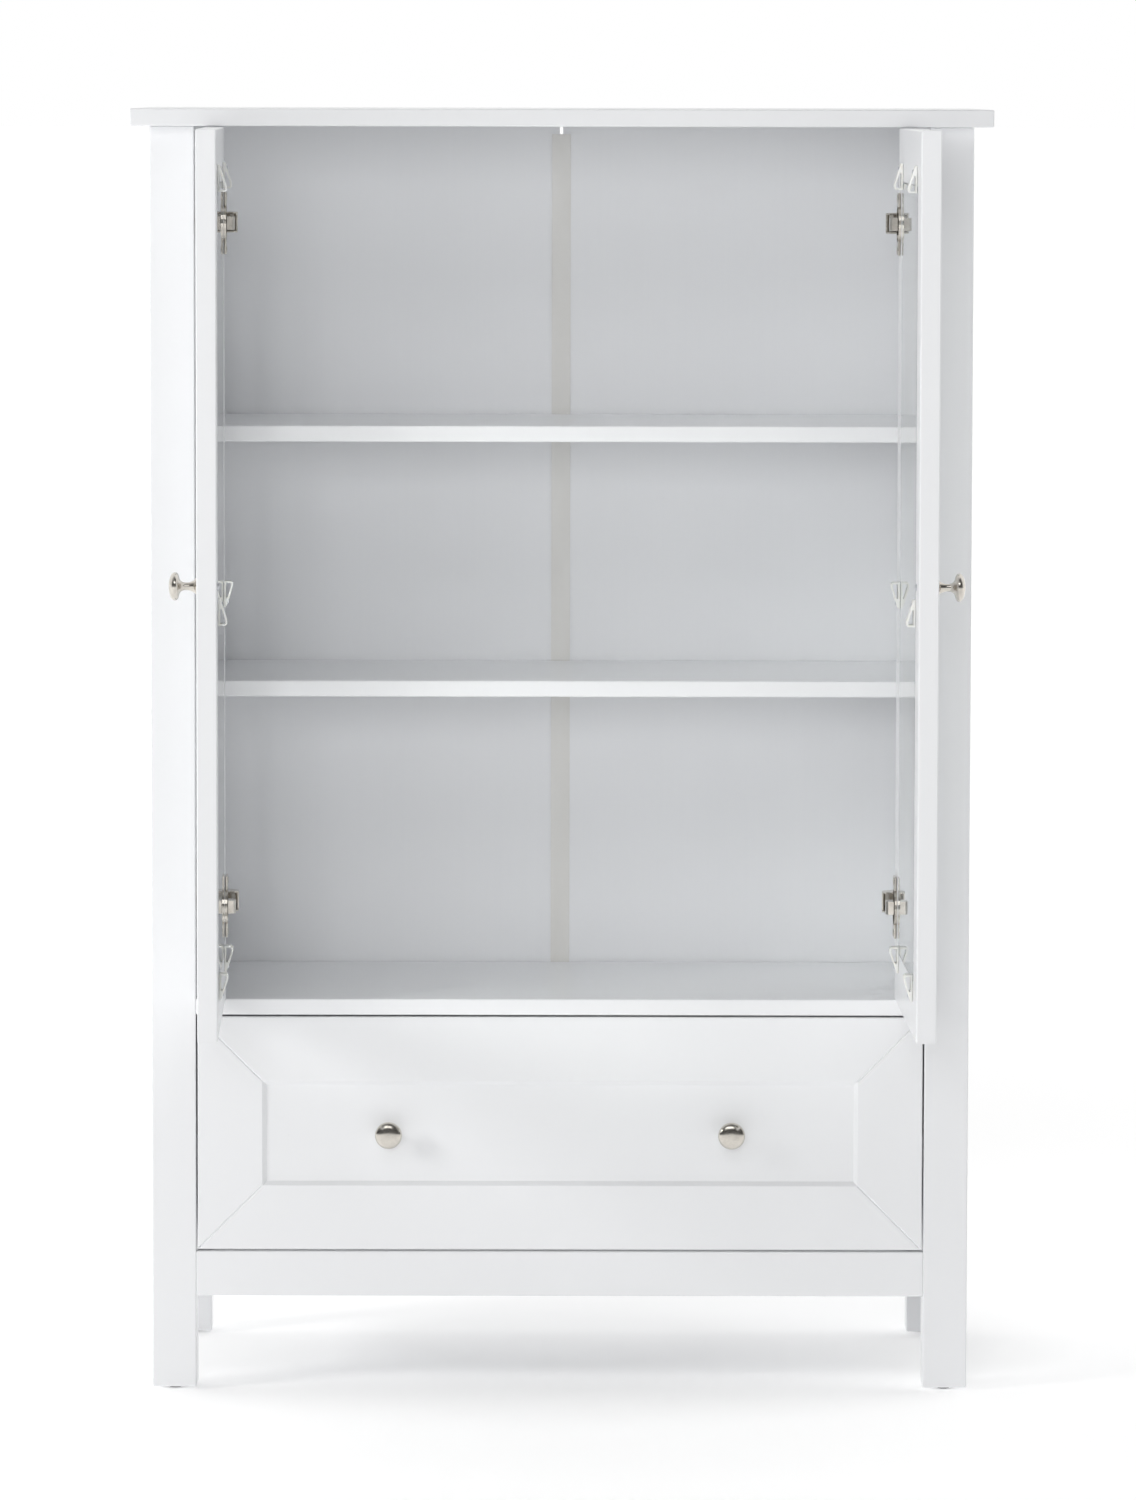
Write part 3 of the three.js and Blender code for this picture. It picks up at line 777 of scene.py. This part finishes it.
@dataclass(frozen=True)
class Knob:
    """A turned mushroom knob: flared foot, slim neck and domed cap with a rolled rim."""

    radius: float = 12.5 * MM
    projection: float = 24.8 * MM
    foot_radius: float = 7.0 * MM
    neck_radius: float = 3.5 * MM
    steps: int = 96

    def mesh(self, name: str) -> bpy.types.Mesh:
        """Builds the knob along +Z with its foot on Z = 0.

        Args:
            name: the mesh's name.

        Returns:
            The mesh.
        """
        r, top, neck, foot = self.radius, self.projection, self.neck_radius, self.foot_radius
        foot_curve = smooth_profile(
            [
                (foot, 0.9 * MM), (foot * 0.82, 2.0 * MM), (neck * 1.32, 3.9 * MM),
                (neck * 1.03, 6.6 * MM), (neck * 0.98, 10.4 * MM), (neck * 1.16, 13.0 * MM),
                (r * 0.5, 15.0 * MM), (r * 0.8, 16.1 * MM), (r * 0.93, 17.0 * MM),
            ],
            5,
        )
        cap_curve = smooth_profile(
            [
                (r * 0.985, top - 6.9 * MM), (r, top - 5.6 * MM), (r * 0.975, top - 4.2 * MM),
                (r * 0.86, top - 2.5 * MM), (r * 0.62, top - 1.05 * MM), (r * 0.32, top - 0.26 * MM),
                (0.0, top),
            ],
            6,
        )
        profile = [(0.0, 0.0), (foot, 0.0), *foot_curve, *cap_curve]
        return turned_mesh(name, profile, self.steps)

    def stand_for(self, node: str, place: Vector, outward: Vector, body: Body) -> bpy.types.Object:
        """Puts the knob in place of a plain one.

        Args:
            node: the knob that it stands for.
            place: the middle of its foot.
            outward: the direction that it points in.
            body: the body it rides on.

        Returns:
            The new piece.
        """
        mesh = self.mesh(f"{node}_turned")
        mesh.transform(facing(place, outward))
        piece = add_piece(f"{node}_turned", mesh, body, "satin_nickel", True)
        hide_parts(node)
        return piece


# ---- Doors --------------------------------------------------------------------------------


@dataclass
class Door:
    """One glazed door with its hinges, clips, knob and screws.

    Places are worked out on the shut door, with u from the hinge edge to the leading edge, v from
    the outer face inward and z up, and are then swung to the angle that the door stands at.
    """

    side: Side
    rounding: float = 0.35 * MM
    metal_rounding: float = 0.3 * MM
    clip_rounding: float = 0.5 * MM
    thickness: float = 18.0 * MM
    side_gap: float = 1.5 * MM
    meeting_gap: float = 3.0 * MM
    knob_inset: float = 30.0 * MM
    cup_flange_top: float = 20.5 * MM
    hinge_end: float = 87.8 * MM
    flange_screw_spread: float = 24.0 * MM
    flange_screw_inset: float = 18.0 * MM
    clip_seat: float = 18.3 * MM
    clip_heel: float = 5.0 * MM
    clip_screw_rise: float = 3.3 * MM
    knob_sink: float = 0.3 * MM
    knob: Knob = Knob()
    clip_screw: Screw = Screw(2.2 * MM, 0.9 * MM)
    flange_screw: Screw = Screw(3.4 * MM, 0.6 * MM)
    knob_screw: Screw = Screw(3.2 * MM, 1.9 * MM)

    def __post_init__(self) -> None:
        """Works out the door's hinge line, rest angle and edges."""
        word = self.side.word
        self.body = door_body(self.side)
        joint = next(j for j in frame["joints"] if j["name"] == f"{word}_door_hinge")
        self.pivot = Vector(joint["pos_m"])
        self.rest_angle = -joint["range_deg"][0]
        self.hinge_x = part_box("cabinet_floor")[0][0] + self.side_gap
        self.lead_x = -self.meeting_gap / 2
        self.front_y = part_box("front_leg_left")[0][1]
        self.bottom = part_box(f"door_hinge_stile_{word}")[0][2]
        self.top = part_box(f"door_hinge_stile_{word}")[1][2]
        self.middle = (self.bottom + self.top) / 2
        self.knob_u = self.lead_x - self.hinge_x - self.knob_inset

    def swing(self) -> Matrix:
        """The matrix that carries the shut door on this side to where it stands."""
        turn = Matrix.Rotation(math.radians(self.side.value * self.rest_angle), 4, "Z")
        return Matrix.Translation(self.pivot) @ turn @ Matrix.Translation(-self.pivot)

    def place(self, u: float, v: float, z: float) -> Vector:
        """A point on the standing door.

        Args:
            u: distance from the hinge edge.
            v: distance in from the outer face.
            z: height.

        Returns:
            The point in the row frame.
        """
        shut = Vector((-self.side.value * (self.hinge_x + u), self.front_y + v, z))
        return self.swing() @ shut

    def outward(self, inner: bool) -> Vector:
        """The direction out of the inner or the outer face of the standing door."""
        normal = Vector((0.0, 1.0 if inner else -1.0, 0.0))
        return self.swing().to_3x3() @ normal

    def node(self, name: str) -> bpy.types.Object:
        """The node of that name on this side."""
        return frame["nodes"][f"{name}_{self.side.word}"]

    def build(self) -> list[bpy.types.Object]:
        """Dresses the door.

        Returns:
            The new pieces.
        """
        for name in ("door_hinge_stile", "door_lead_stile", "door_bottom_rail", "door_top_rail"):
            add_rounding(self.node(name), self.rounding)
        for level in ("upper", "lower"):
            add_rounding(self.node(f"hinge_cup_{level}"), self.metal_rounding)
            add_rounding(self.node(f"hinge_arm_{level}"), self.metal_rounding * 2)
        clips = [
            f"glass_clip_{place}_{edge}" for place in ("top", "mid", "bottom") for edge in ("hinge", "lead")
        ]
        for clip in clips:
            add_rounding(self.node(clip), self.clip_rounding)
        return [self.turned_knob(), self.inner_knob_screw(), self.flange_screws(), self.clip_screws(clips)]

    def turned_knob(self) -> bpy.types.Object:
        """The knob on the leading stile.

        Returns:
            The new piece.
        """
        place = self.place(self.knob_u, -self.knob_sink, self.middle)
        return self.knob.stand_for(f"door_knob_{self.side.word}", place, self.outward(False), self.body)

    def inner_knob_screw(self) -> bpy.types.Object:
        """The bright head of the knob's screw on the door's inner face.

        Returns:
            The new piece.
        """
        mesh = self.knob_screw.mesh("knob_screw")
        place = self.place(self.knob_u, self.thickness, self.middle)
        mesh.transform(facing(place, self.outward(True)))
        return add_piece(f"knob_screw_{self.side.word}", mesh, self.body, "zinc_steel")

    def flange_screws(self) -> bpy.types.Object:
        """Two screws in the flange of each hinge cup.

        Returns:
            The screws as one piece.
        """
        head = self.flange_screw.mesh("flange_screw")
        places = []
        for height in (self.bottom + self.hinge_end, self.top - self.hinge_end):
            for offset in (-self.flange_screw_spread, self.flange_screw_spread):
                place = self.place(self.flange_screw_inset, self.cup_flange_top, height + offset)
                places.append((head, facing(place, self.outward(True))))
        mesh = joined("flange_screws", places)
        return add_piece(f"flange_screws_{self.side.word}", mesh, self.body, "satin_nickel")

    def clip_screws(self, clips: list[str]) -> bpy.types.Object:
        """A small screw in the heel of each glass clip.

        Args:
            clips: the clips' names without their side.

        Returns:
            The new piece.
        """
        head = self.clip_screw.mesh("clip_screw")
        back = self.swing().inverted()
        places = []
        for clip in clips:
            corners = [back @ v.co for v in self.node(clip).data.vertices]
            low = Vector([min(c[k] for c in corners) for k in range(3)])
            high = Vector([max(c[k] for c in corners) for k in range(3)])
            heel = (low + high) / 2
            hangs_down = "top" in clip or "mid_lead" in clip
            heel.z = high.z - self.clip_heel if hangs_down else low.z + self.clip_heel
            heel.y = self.front_y + self.clip_seat + self.clip_screw_rise
            places.append((head, facing(self.swing() @ heel, self.outward(True))))
        mesh = joined("clip_screws", places)
        return add_piece(f"clip_screws_{self.side.word}", mesh, self.body, "zinc_steel")


@dataclass
class HingeArms:
    """The adjusting and mounting screws on the hinge arms of one side."""

    side: Side
    mount_screw: Screw = Screw(3.4 * MM, 1.4 * MM)
    adjust_screw: Screw = Screw(3.0 * MM, 1.2 * MM)
    mount_thickness: float = 3.0 * MM
    mount_spread: float = 16.0 * MM
    mount_from_back: float = 24.0 * MM
    arm_thickness: float = 17.0 * MM
    adjust_from_back: tuple[float, float] = (11.0 * MM, 23.0 * MM)

    def build(self) -> list[bpy.types.Object]:
        """Adds the screws.

        Returns:
            The new pieces.
        """
        mount, adjust = self.mount_screw.mesh("mount_screw"), self.adjust_screw.mesh("adjust_screw")
        inward = Vector((-self.side.value, 0.0, 0.0))
        places = []
        for level in ("upper", "lower"):
            low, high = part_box(f"hinge_arm_{level}_{self.side.word}")
            middle = (low[2] + high[2]) / 2
            wall = low[0] if self.side is Side.LEFT else high[0]
            back = high[1]
            for offset in (-self.mount_spread, self.mount_spread):
                x = wall + inward.x * self.mount_thickness
                place = Vector((x, back - self.mount_from_back, middle + offset))
                places.append((mount, facing(place, inward)))
            for distance in self.adjust_from_back:
                place = Vector((wall + inward.x * self.arm_thickness, back - distance, middle))
                places.append((adjust, facing(place, inward)))
        mesh = joined("arm_screws", places)
        return [add_piece(f"arm_screws_{self.side.word}", mesh, Body.CARCASS, "satin_nickel")]


# ---- Drawer -------------------------------------------------------------------------------


@dataclass
class Drawer:
    """The drawer: routed front, box, turned knobs and its own runner rails with rollers."""

    rounding: float = 0.4 * MM
    rail_height: float = 18.0 * MM
    rail_thickness: float = 1.2 * MM
    rail_front_gap: float = 4.0 * MM
    rail_back_gap: float = 2.0 * MM
    roller_radius: float = 8.0 * MM
    roller_width: float = 4.0 * MM
    roller_rim: float = 0.8 * MM
    roller_from_back: float = 20.0 * MM
    knob: Knob = Knob()

    def build(self) -> list[bpy.types.Object]:
        """Dresses the drawer.

        Returns:
            The new pieces.
        """
        for name in ("drawer_front", "drawer_side_left", "drawer_side_right", "drawer_back"):
            add_rounding(frame["nodes"][name], self.rounding)
        pieces = []
        for side in Side:
            low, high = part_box(f"drawer_knob_{side.word}")
            place = Vector(((low[0] + high[0]) / 2, high[1], (low[2] + high[2]) / 2))
            node = f"drawer_knob_{side.word}"
            pieces.append(self.knob.stand_for(node, place, Vector((0.0, -1.0, 0.0)), Body.DRAWER))
            pieces.append(self.rail(side))
        return pieces

    def rail(self, side: Side) -> bpy.types.Object:
        """The rail on one side of the drawer, with the roller that runs in the channel.

        Args:
            side: the side it is on.

        Returns:
            The new piece.
        """
        low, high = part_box(f"drawer_side_{side.word}")
        channel_low, channel_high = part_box(f"drawer_runner_{side.word}")
        wall = low[0] if side is Side.LEFT else high[0]
        middle = (channel_low[2] + channel_high[2]) / 2
        out = float(side.value)
        half, thick = self.rail_height / 2, self.rail_thickness
        bm = bmesh.new()
        bmesh.ops.create_cube(bm, size=1.0)
        for vert in bm.verts:
            vert.co.x = wall + out * (thick if vert.co.x * out > 0 else 0.0)
            vert.co.y = high[1] - self.rail_back_gap if vert.co.y > 0 else low[1] + self.rail_front_gap
            vert.co.z = middle + (half if vert.co.z > 0 else -half)
        plate = bpy.data.meshes.new("rail_plate")
        bm.to_mesh(plate)
        bm.free()
        r, w, rim = self.roller_radius, self.roller_width, self.roller_rim
        hub, step = 0.4 * r, 0.6 * MM
        profile = [
            (0.0, 0.0), (hub, 0.0), (hub, step), (r - rim, step), (r, step + rim),
            (r, w - rim), (r - rim, w), (0.0, w),
        ]
        roller = turned_mesh("rail_roller", profile, 40)
        place = Vector((wall + out * thick, high[1] - self.roller_from_back, middle))
        parts = [(plate, Matrix.Identity(4)), (roller, facing(place, Vector((out, 0.0, 0.0))))]
        mesh = joined(f"drawer_rail_{side.word}", parts)
        return add_piece(f"drawer_rail_{side.word}", mesh, Body.DRAWER, "zinc_steel")


# ---- Studio -------------------------------------------------------------------------------


@dataclass(frozen=True)
class SoftBox:
    """One soft rectangular light that faces the armoire."""

    name: str
    place: tuple[float, float, float]
    size: tuple[float, float]
    power: float
    tone: tuple[float, float, float] = (1.0, 1.0, 1.0)
    aim: tuple[float, float, float] = (0.0, 0.0, 0.65)
    mirrored: bool = False

    def build(self) -> bpy.types.Object:
        """Adds the light.

        Returns:
            The light's object.
        """
        data = bpy.data.lights.new(self.name, "AREA")
        data.shape = "RECTANGLE"
        data.size, data.size_y = self.size
        data.energy = self.power
        data.color = self.tone
        lamp = bpy.data.objects.new(self.name, data)
        lamp.location = self.place
        toward = Vector(self.aim) - Vector(self.place)
        lamp.visible_glossy = self.mirrored
        lamp.rotation_euler = toward.to_track_quat("-Z", "Y").to_euler()
        bpy.context.scene.collection.objects.link(lamp)
        return lamp


@dataclass
class Studio:
    """The plain pale floor, the soft lights and the camera."""

    floor_half: float = 400.0
    floor_white: float = 0.93
    # painted light: the floor's emission glows though the floor is no lamp
    floor_glow: float = 0.36
    far_glow: float = 0.16
    front_glow: float = 0.10
    front_fade: tuple[float, float] = (-1.3, -0.5)
    # painted shadow: the glow drops to this share round a point under the back half of the cabinet
    shade_centre: float = 0.28
    shade_share: float = 0.35
    shade_fade: tuple[float, float] = (0.15, 0.5)
    far_fade: tuple[float, float] = (1.5, 5.0)
    lens: float = 181.7
    sensor: float = 36.0
    view_range: float = 200.0
    eye: tuple[float, float, float] = (-0.0095, -7.0064, 1.2186)
    pitch: float = 5.048
    yaw: float = 0.133
    roll: float = -0.117
    rear_wall: float = 1.0
    left_sky: float = 0.25
    right_sky: float = 0.10
    dark_band: float = 0.06
    side_fade: tuple[float, float] = (-0.25, 0.25)
    sky_fade: tuple[float, float] = (0.30, 0.52)
    depth_fade: tuple[float, float] = (-0.3, 0.3)
    boxes: tuple[SoftBox, ...] = (
        SoftBox("key", (-5.2, -2.8, 2.5), (1.5, 1.5), 104.0, (1.0, 0.99, 0.975)),
        SoftBox("low_front", (-0.6, -8.0, 1.9), (1.5, 1.5), 106.0),
        SoftBox("high_front", (-0.8, -5.6, 4.6), (5.0, 1.5), 54.0, mirrored=True),
    )

    def build(self) -> None:
        """Sets up everything round the armoire."""
        self.floor()
        self.world()
        for box in self.boxes:
            box.build()
        self.camera()

    def floor(self) -> None:
        """A large pale floor with a painted glow, cut round the cabinet as a painted shadow."""
        h = self.floor_half
        mesh = bpy.data.meshes.new("floor")
        mesh.from_pydata([(-h, -h, 0), (h, -h, 0), (h, h, 0), (-h, h, 0)], [], [(0, 1, 2, 3)])
        n = Nodes("studio_floor")
        n.set(
            Base_Color=(self.floor_white,) * 3 + (1.0,),
            Roughness=0.9,
            Specular_IOR_Level=0.0,
            Emission_Color=(1.0, 1.0, 1.0, 1.0),
        )
        split = n.add("ShaderNodeSeparateXYZ")
        n.link(n.place, split.inputs[0])
        shift = n.add("ShaderNodeVectorMath", operation="SUBTRACT")
        shift.inputs[1].default_value = (0.0, self.shade_centre, 0.0)
        n.link(n.place, shift.inputs[0])
        length = n.add("ShaderNodeVectorMath", operation="LENGTH")
        n.link(shift.outputs["Vector"], length.inputs[0])
        reach = length.outputs["Value"]
        front = n.spread(split.outputs["Y"], self.front_glow, self.floor_glow, *self.front_fade)
        # painted shadow under the cabinet: the glow is multiplied down near the shadow's centre
        near = n.add("ShaderNodeMath", operation="MULTIPLY")
        n.link(front, near.inputs[0])
        n.link(n.spread(reach, self.shade_share, 1.0, *self.shade_fade), near.inputs[1])
        glow = n.add("ShaderNodeMath", operation="ADD")
        n.link(near.outputs[0], glow.inputs[0])
        n.link(n.spread(reach, 0.0, self.far_glow, *self.far_fade), glow.inputs[1])
        n.link(glow.outputs[0], n.shader.inputs["Emission Strength"])
        n.finish(normal=n.bump(n.noise(300.0, 3.0), 0.00002))
        mesh.materials.append(n.material)
        plane = bpy.data.objects.new("floor", mesh)
        bpy.context.scene.collection.objects.link(plane)

    def world(self) -> None:
        """A soft room: white behind the armoire, and in front a dark band under a pale sky."""
        world = bpy.data.worlds.new("studio")
        bpy.context.scene.world = world
        world.use_nodes = True
        tree = world.node_tree
        background = tree.nodes["Background"]
        background.inputs["Color"].default_value = (1.0, 1.0, 1.0, 1.0)
        where = tree.nodes.new("ShaderNodeTexCoord")
        split = tree.nodes.new("ShaderNodeSeparateXYZ")
        tree.links.new(where.outputs["Generated"], split.inputs[0])

        def blend(axis: str, fade: tuple[float, float]) -> bpy.types.Node:
            """A smooth step across the room along an axis.

            Args:
                axis: the axis it steps along.
                fade: where the step starts and ends.

            Returns:
                The node, whose range runs from 0 to 1 until it is set.
            """
            node = tree.nodes.new("ShaderNodeMapRange")
            node.interpolation_type = "SMOOTHSTEP"
            node.inputs["From Min"].default_value = fade[0]
            node.inputs["From Max"].default_value = fade[1]
            tree.links.new(split.outputs[axis], node.inputs["Value"])
            return node

        side = blend("X", self.side_fade)
        height = blend("Z", self.sky_fade)
        depth = blend("Y", self.depth_fade)
        side.inputs["To Min"].default_value = self.left_sky
        side.inputs["To Max"].default_value = self.right_sky
        height.inputs["To Min"].default_value = self.dark_band
        tree.links.new(side.outputs["Result"], height.inputs["To Max"])
        depth.inputs["To Max"].default_value = self.rear_wall
        tree.links.new(height.outputs["Result"], depth.inputs["To Min"])
        tree.links.new(depth.outputs["Result"], background.inputs["Strength"])

    def camera(self) -> None:
        """A long lens in front of the armoire, a little above its middle."""
        data = bpy.data.cameras.new("camera")
        data.lens = self.lens
        data.sensor_width = self.sensor
        data.clip_end = self.view_range
        cam = bpy.data.objects.new("camera", data)
        p, w, r = (math.radians(a) for a in (self.pitch, self.yaw, self.roll))
        forward = Vector((math.sin(w) * math.cos(p), math.cos(w) * math.cos(p), -math.sin(p)))
        level = Vector((math.cos(w), -math.sin(w), 0.0))
        down = forward.cross(level)
        right = level * math.cos(r) + down * math.sin(r)
        below = -level * math.sin(r) + down * math.cos(r)
        turn = Matrix((right, -below, -forward)).transposed().to_4x4()
        cam.matrix_world = Matrix.Translation(self.eye) @ turn
        bpy.context.scene.collection.objects.link(cam)
        bpy.context.scene.camera = cam
        bpy.context.scene.view_settings.view_transform = "Standard"


# ---- Main ---------------------------------------------------------------------------------


def dress_nodes() -> None:
    """Gives every node of the frame the finish of its slot."""
    slots = {part["node"]: part["material_slot"] for part in frame["record"]["subparts"]}
    for name, node in frame["nodes"].items():
        node.data.materials.clear()
        node.data.materials.append(FINISHES.of(slots[name]))
        log.info("node %s in %s", name, slots[name])


def main() -> None:
    """Builds the studio and every sub-assembly, and reports each piece."""
    logging.basicConfig(level=logging.INFO, format="%(name)s: %(message)s")
    Studio().build()
    dress_nodes()
    assemblies = [Carcass(), *(Door(side) for side in Side), *(HingeArms(side) for side in Side), Drawer()]
    for assembly in assemblies:
        for piece in assembly.build():
            log.info("piece %s with %d faces", piece.name, len(piece.data.polygons))


if __name__ == "__main__":
    main()
